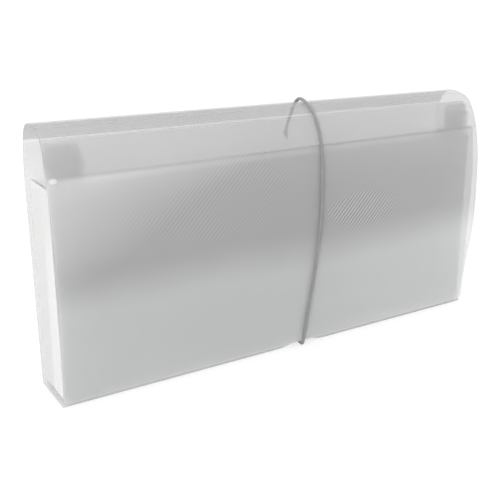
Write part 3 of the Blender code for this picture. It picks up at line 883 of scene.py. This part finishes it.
def make_divider(number, finish):
    """A divider, straight along its top or, in the front ones, with raised shoulders, wider to the front."""
    share = number / POCKET_COUNT
    rearmost = POCKET_COUNT - SHOULDER_COUNT
    inner = SHOULDER_X + SHOULDER_STEP * (POCKET_COUNT - 1 - number)
    right_inner = WIDE_SHOULDER_X if number == rearmost else inner
    raised = number >= rearmost
    low = DIVIDER_TOP - SEAT_HEIGHT
    top = shoulder_top(share) - SEAT_HEIGHT if raised else low
    quarter = math.pi / 2

    def end(start):
        edge = arc(POCKET_EDGE_X - SHEET_CORNER, top - SHEET_CORNER, SHEET_CORNER, 0, quarter)
        if raised:
            edge += arc(start + SHEET_CORNER, top - SHEET_CORNER, SHEET_CORNER, quarter, quarter)
            edge += arc(start - SHOULDER_FILLET, low + SHOULDER_FILLET, SHOULDER_FILLET, 0, -quarter)
        return edge

    outline = lower_edge(POCKET_EDGE_X) + end(right_inner) + [(-x, y) for x, y in reversed(end(inner))]
    return upright_sheet(f"divider_sheet_{number:02d}", outline, share, finish)


def sheet_lean(share):
    """How far the sheet at this share of the stack leans back."""
    return math.atan2(stack_depth_at(share, 0) - stack_depth_at(share, PANEL_HEIGHT), PANEL_HEIGHT)


def make_pleat(side, pocket, finish):
    """A pocket's folded film: welded behind, folded inwards, then wrapped round the next sheet's end."""
    rear_share = (pocket - 1) / POCKET_COUNT
    front_share = pocket / POCKET_COUNT
    last = pocket == POCKET_COUNT
    skin = 0.3 * MM + GUSSET_FILM / 2
    rear_room = skin + (DIVIDER_SHEET / 2 if pocket > 1 else 0)
    front_room = skin + (0 if last else DIVIDER_SHEET / 2)
    top = DIVIDER_TOP
    low = SEAT_HEIGHT + 1.5 * MM
    tip = 4.5 * MM
    foot = 3 * MM
    welded = 6 * MM
    inner = SHOULDER_X + GUSSET_FILM / 2
    outer = POCKET_EDGE_X - GUSSET_FILM / 2
    # across the pocket from 0 at the rear film to 1 at the front film, and beyond it round the sheet's end
    turn = ((5, 0), (2, 0.02), (0.7, 0.1), (0.15, 0.3))
    rear_film = [(outer, 0), (outer - 2 * MM, 0), (outer - welded, 0)]
    rear_film += [(inner + x * MM, y) for x, y in turn]
    plan = rear_film + [(inner, 0.5)] + [(x, 1 - y) for x, y in reversed(rear_film)]
    columns = [(x, y, 0) for x, y in plan]
    if not last:
        for a in (math.radians(22.5 * step) for step in range(1, 8)):
            columns.append((outer + front_room * math.sin(a), 1, front_room * (1 - math.cos(a))))
        columns.append((outer, 1, 2 * front_room))
    if side < 0:
        columns.reverse()
    heights = [SEAT_HEIGHT, low] + [share_between(low, top, share) for share in (0.2, 0.4, 0.6, 0.8, 0.95)]
    heights += [top - 1.2 * MM, top - 0.4 * MM, top]

    def place(column, height):
        x, across, beyond = column
        drop = top - height
        if x < inner + SHEET_CORNER and drop < SHEET_CORNER:
            x = max(x, inner + SHEET_CORNER - math.sqrt(SHEET_CORNER**2 - (SHEET_CORNER - drop) ** 2))
        rear = stack_depth_at(rear_share, height) + rear_room
        front = stack_depth_at(front_share, height) - front_room
        outward = smooth_step((x - outer + welded) / welded)
        rise = tip * smooth_step(1 - drop / (20 * MM)) + foot * smooth_step(1 - height / (16 * MM))
        depth = share_between(rear, front, across) + beyond
        return Vector((side * x, world_y(depth), height + outward * rise))

    def mark(column, height):
        x, across, beyond = column
        # Painted light: the top 5 mm of each pleat, which the flap and roof shade, is whitened and made more
        # opaque.
        rim = 0.7 * (1 - smooth_step((top - height) / (5 * MM)))
        return 0.8 if beyond else max(rim, 0.7 * (1 - smooth_step((x - inner) / (1.2 * MM))))

    name = f"pleat_{'right' if side > 0 else 'left'}_{pocket:02d}"
    pleat = grid_sheet(name, heights, columns, place, GUSSET_FILM, finish, mark, offset=0, rounding=0)
    gap = POCKET_PITCH - rear_room - front_room
    lean = sheet_lean(front_share)
    end = Vector((0, world_y(stack_depth_at(front_share, SEAT_HEIGHT) - front_room), SEAT_HEIGHT))
    reach = gap / (1 - find_share((pocket - 1) / pocket))
    return finished(pleat), end + Vector((0, math.cos(lean), -math.sin(lean))) * reach, end


def find_share(weight):
    """The place between 0 and 1 where the smooth step has this weight."""
    return 0.5 - math.sin(math.asin(1 - 2 * weight) / 3)


def make_front_fold(finish):
    """The scored fold between the base and the front panel."""
    above = 1.6 * MM
    front = COVER_FRONT_DEPTH
    rows = [Vector((front - STACK_FRONT_LEAN / PANEL_HEIGHT * above, above))]
    rows += fold_turn(front, -1, (90, 75, 60, 45, 30, 15, 0))
    rows += [Vector((front - FOLD_RADIUS - 0.3 * MM, 0))]

    def place(x, row):
        return on_cover(x, row.x, row.y + channel_rise(x))

    places = over_channel(end_to_end(54))
    fold = grid_sheet("front_fold", rows, places, place, 0.45 * MM, finish, lambda x, row: 0.35, rounding=0)
    return finished(fold)


def unit_rows(rows):
    return rows / np.linalg.norm(rows, axis=1)[:, None]


def frames_along(points):
    """Two unit vectors square to the path at each point, without twist."""
    along = unit_rows(np.gradient(points, axis=0))
    side = np.zeros_like(points)
    side[0] = np.cross(along[0], (0.0, 0.0, 1.0))
    side[0] /= np.linalg.norm(side[0])
    for index in range(1, len(points)):
        turned = side[index - 1] - along[index] * np.dot(side[index - 1], along[index])
        side[index] = turned / np.linalg.norm(turned)
    return side, np.cross(along, side)


def cord_points(step):
    route = [Vector(point) * MM for point in CORD_ROUTE]
    path = smooth_through(route, 12)
    length = path_length(path)
    count = round(length / step)
    walked = np.cumsum([0] + [(b - a).length for a, b in zip(path, path[1:])])
    wanted = np.linspace(0, length, count + 1)
    coords = np.array(path)
    return np.stack([np.interp(wanted, walked, coords[:, axis]) for axis in range(3)], axis=1), length


def tube_rings(centres, first, second, wide, thick, sides):
    """Rings of an oval section along the centres."""
    angles = np.linspace(0, 2 * math.pi, sides, endpoint=False)
    return (
        centres[:, None, :]
        + first[:, None, :] * (np.cos(angles) * wide)[None, :, None]
        + second[:, None, :] * (np.sin(angles) * thick)[None, :, None]
    )


def mesh_from_rings(name, ring_sets, finish):
    points = []
    faces = []
    for rings in ring_sets:
        start = len(points)
        count, sides, _ = rings.shape
        points += rings.reshape(-1, 3).tolist()
        for i in range(count - 1):
            for j in range(sides):
                k = (j + 1) % sides
                a = start + i * sides
                faces.append((a + j, a + k, a + sides + k, a + sides + j))
        faces.append(tuple(start + j for j in reversed(range(sides))))
        faces.append(tuple(start + (count - 1) * sides + j for j in range(sides)))
    mesh = bpy.data.meshes.new(name)
    mesh.from_pydata(points, [], faces)
    mesh.materials.append(finish)
    for face in mesh.polygons:
        face.use_smooth = True
    mesh.set_sharp_from_angle(angle=math.radians(60))
    return add_object(name, mesh)


def make_elastic(braid_finish, core_finish):
    """Round braid: strands wound both ways round a rubber core, each over and under the others.

    The bight over the top is a piece of its own.
    """
    strands = 6
    pitch = 7.4 * MM
    points, length = cord_points(0.25 * MM)
    side, up = frames_along(points)
    turned = 2 * math.pi * np.linspace(0, length, len(points)) / pitch
    core = tube_rings(points, side, up, 0.68 * MM, 0.68 * MM, 10)
    sets = []
    for turn_way, shift in ((1, 0), (-1, math.pi)):
        for strand in range(strands):
            angle = turn_way * turned + 2 * math.pi * strand / strands
            over = np.cos(turned * strands + shift + math.pi * strand)
            outward = side * np.cos(angle)[:, None] + up * np.sin(angle)[:, None]
            centres = points + outward * (0.78 * MM + 0.06 * MM * over)[:, None]
            flat = unit_rows(np.cross(unit_rows(np.gradient(centres, axis=0)), outward))
            sets.append(tube_rings(centres, flat, outward, 0.33 * MM, 0.1 * MM, 6))
    cut = int(np.argmax((points[:, 1] < -10 * MM) & (points[:, 2] < UPPER_ANCHOR_HEIGHT)))
    made = []
    for word, span in (("top", slice(0, cut + 1)), ("run", slice(cut, None))):
        made.append(mesh_from_rings(f"elastic_braid_{word}", [rings[span] for rings in sets], braid_finish))
        made.append(mesh_from_rings(f"elastic_core_{word}", [core[span]], core_finish))
    return made, tuple(points[cut].tolist())


def back_outer_y(height):
    path = back_path()
    for a, b in zip(path, path[1:]):
        if a.y <= height <= b.y:
            return world_y(share_between(a.x, b.x, (height - a.y) / (b.y - a.y)))
    return world_y(path[-1].x)


def make_barb(name, height, finish):
    """A rolled metal sleeve crimped round the elastic's end, with its seam and two pinched rings."""
    half_long = 2.5 * MM
    wide = 0.85 * MM
    edge = 0.3 * MM
    sides = 28
    y = back_outer_y(height) - COVER_SHEET - 0.3 * MM - wide
    rings = []
    for share in even_shares(40):
        z = share_between(-half_long, half_long, share)
        inset = max(0, edge - min(share, 1 - share) * 2 * half_long)
        radius = wide - edge + math.sqrt(edge**2 - inset**2)
        pinch = max(0, 1 - abs(abs(z) - 1.2 * MM) / (0.35 * MM))
        radius -= 0.14 * MM * smooth_step(pinch)
        ring = []
        for j in range(sides):
            angle = 2 * math.pi * j / sides
            reach = radius - (0.12 * MM if j == sides * 3 // 4 else 0)
            ring.append((ANCHOR_X + reach * math.cos(angle), y + reach * math.sin(angle), height + z))
        rings.append(ring)
    return mesh_from_rings(name, [np.array(rings)], finish)


def ride_on(piece, body, slot, *nodes):
    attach(piece, body)
    if nodes:
        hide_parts(*nodes)


def make_folder():
    groups = (frost_group(), weld_group(), painted_light_group())
    clear = (0.8, 0.805, 0.81)
    # The flap's dull tone is its painted shade, and pale its painted highlight.
    dull = (0.545, 0.545, 0.552)
    pale = (0.83, 0.832, 0.83)
    milky = grey(0.93)
    cloudy = grey(0.88)
    back_look = sheet_finish("cover_sheet_finish", groups, grey(0.83), (0.78, 0.78, 0.785), 0.34, 0.4, WELD_X)
    flap_look = sheet_finish("flap_sheet_finish", groups, clear, dull, 0.4, 1.0, pale=pale)
    strip_look = sheet_finish("top_strip_finish", groups, grey(0.5), grey(0.47), 0.37, 0.1)
    panel_look = sheet_finish("front_panel_finish", groups, clear, grey(0.8), 0.4, 0.4, WELD_X)
    # Painted shade on the front dividers' raised shoulders.
    raised = grey(0.68)
    divider_look = sheet_finish("divider_sheet_finish", groups, milky, cloudy, 0.36, 0, WELD_X, raised=raised)
    crease_look = sheet_finish("crease_film_finish", groups, milky, cloudy, 0.2, 0)
    film = gusset_finish()
    braid_look = elastic_finish("elastic_braid_finish", grey(0.33), grey(0.22))
    core_look = elastic_finish("elastic_core_finish", grey(0.2), grey(0.14))
    metal = metal_finish()

    ride_on(make_back_and_base(back_look), "back_cover", "frosted_cover", "back_panel", "base_panel")
    for word, path in (("rear", rear_strip_path()), ("front", front_strip_path())):
        strip = make_strip(f"top_{word}_strip", path, strip_look)
        ride_on(strip, f"flap_{word}_strip", "frosted_cover", f"flap_top_{word}")
    ride_on(make_flap(flap_look), "flap", "frosted_cover", "flap_front")
    paths = (back_path(), rear_strip_path(), front_strip_path(), flap_path(FLAP_LEFT_BULGE_SHARES))
    for index, word in enumerate(("rear", "top", "front")):
        piece, start, end = make_crease(f"{word}_crease_film", paths[index], paths[index + 1], crease_look)
        tuple(start)
        tuple(end)
        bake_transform(piece)

    ride_on(make_front_panel(panel_look), "front_cover", "frosted_cover", "front_panel")
    fold = make_front_fold(crease_look)
    front = world_y(COVER_FRONT_DEPTH)
    start = (0, front + 0.4 * MM, 0.2 * MM)
    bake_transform(fold)
    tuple(start)

    for number in range(1, POCKET_COUNT):
        body = f"pocket_{number:02d}"
        ride_on(make_divider(number, divider_look), body, "frosted_divider", f"divider_{number:02d}")
    for pocket in range(1, POCKET_COUNT + 1):
        body = "front_cover" if pocket == POCKET_COUNT else f"pocket_{pocket:02d}"
        for side, word in ((-1, "left"), (1, "right")):
            pleat, start, end = make_pleat(side, pocket, film)
            tuple(start)
            tuple(end)
            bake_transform(pleat)
            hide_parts(f"gusset_{word}_{pocket:02d}")

    lengths, cut = make_elastic(braid_look, core_look)
    for piece in lengths:
        ride_on(piece, "elastic", "grey_elastic")
        if piece.name.endswith("top"):
            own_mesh(piece)
    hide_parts("elastic_cord")
    for word, height in (("upper", UPPER_ANCHOR_HEIGHT), ("lower", LOWER_ANCHOR_HEIGHT)):
        ride_on(make_barb(f"{word}_barb", height, metal), "back_cover", "crimped_metal", f"{word}_cord_barb")


# Studio


def make_camera():
    azimuth, elevation, roll = (math.radians(a) for a in (-32.53, 19.74, 1.05))
    level = math.cos(elevation)
    back = Vector((math.sin(azimuth) * level, -math.cos(azimuth) * level, math.sin(elevation)))
    right = Vector((math.cos(azimuth), math.sin(azimuth), 0))
    up = back.cross(right)
    across = right * math.cos(roll) + up * math.sin(roll)
    above = up * math.cos(roll) - right * math.sin(roll)
    lens = bpy.data.cameras.new("photo_camera")
    lens.sensor_width = 36
    lens.lens = 60.25
    lens.clip_start = 0.01
    lens.clip_end = 50
    camera = add_object("photo_camera", lens)
    turn = Matrix((across, above, back)).transposed().to_4x4()
    camera.matrix_world = Matrix.Translation((-0.25006, -0.36439, 0.21176)) @ turn
    bpy.context.scene.camera = camera


def seen_share(net):
    """1 for rays that show a surface, 0 for rays that only light others."""
    rays = net.add("ShaderNodeLightPath")
    seen = net.plus(rays.outputs["Is Camera Ray"], rays.outputs["Is Glossy Ray"])
    return net.plus(seen, rays.outputs["Is Transmission Ray"], clamp=True)


def make_floor():
    """A grey floor that keeps the folder's shadow and is seen as white."""
    bpy.ops.mesh.primitive_plane_add(size=16, location=(0, 0, -0.15 * MM))
    floor = bpy.context.active_object
    floor.name = "studio_floor"
    finish, net, shader = new_finish("studio_floor_finish", grey(0.32), 0.9, Specular_IOR_Level=0.0)
    shader.inputs["Emission Color"].default_value = (1, 1, 1, 1)
    net.join(net.times(seen_share(net), 0.71), shader.inputs["Emission Strength"])
    floor.data.materials.append(finish)


def make_world():
    world = bpy.data.worlds.new("studio_world")
    bpy.context.scene.world = world
    world.use_nodes = True
    net = Net(world.node_tree)
    sky = world.node_tree.nodes["Background"]
    sky.inputs["Color"].default_value = (1, 1, 1, 1)
    net.join(net.plus(net.times(seen_share(net), 0.06), 0.94), sky.inputs["Strength"])


def make_lamp(name, place, aim, size, power):
    data = bpy.data.lights.new(name, "AREA")
    data.shape = "SQUARE"
    data.size = size
    data.energy = power
    lamp = add_object(name, data)
    lamp.location = place
    lamp.rotation_euler = (Vector(aim) - Vector(place)).to_track_quat("-Z", "Y").to_euler()


def main():
    scene = bpy.context.scene
    for item in list(bpy.data.objects):
        bpy.data.objects.remove(item)
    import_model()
    scene.view_settings.view_transform = "Standard"
    make_camera()
    make_floor()
    make_world()
    make_lamp("left_softbox", (-1.35, -1.25, 0.7), (0, 0, 0.06), 1.2, 19)
    make_lamp("top_softbox", (0.2, 0.2, 1.8), (0, 0, 0.06), 1.6, 4)
    make_folder()


main()
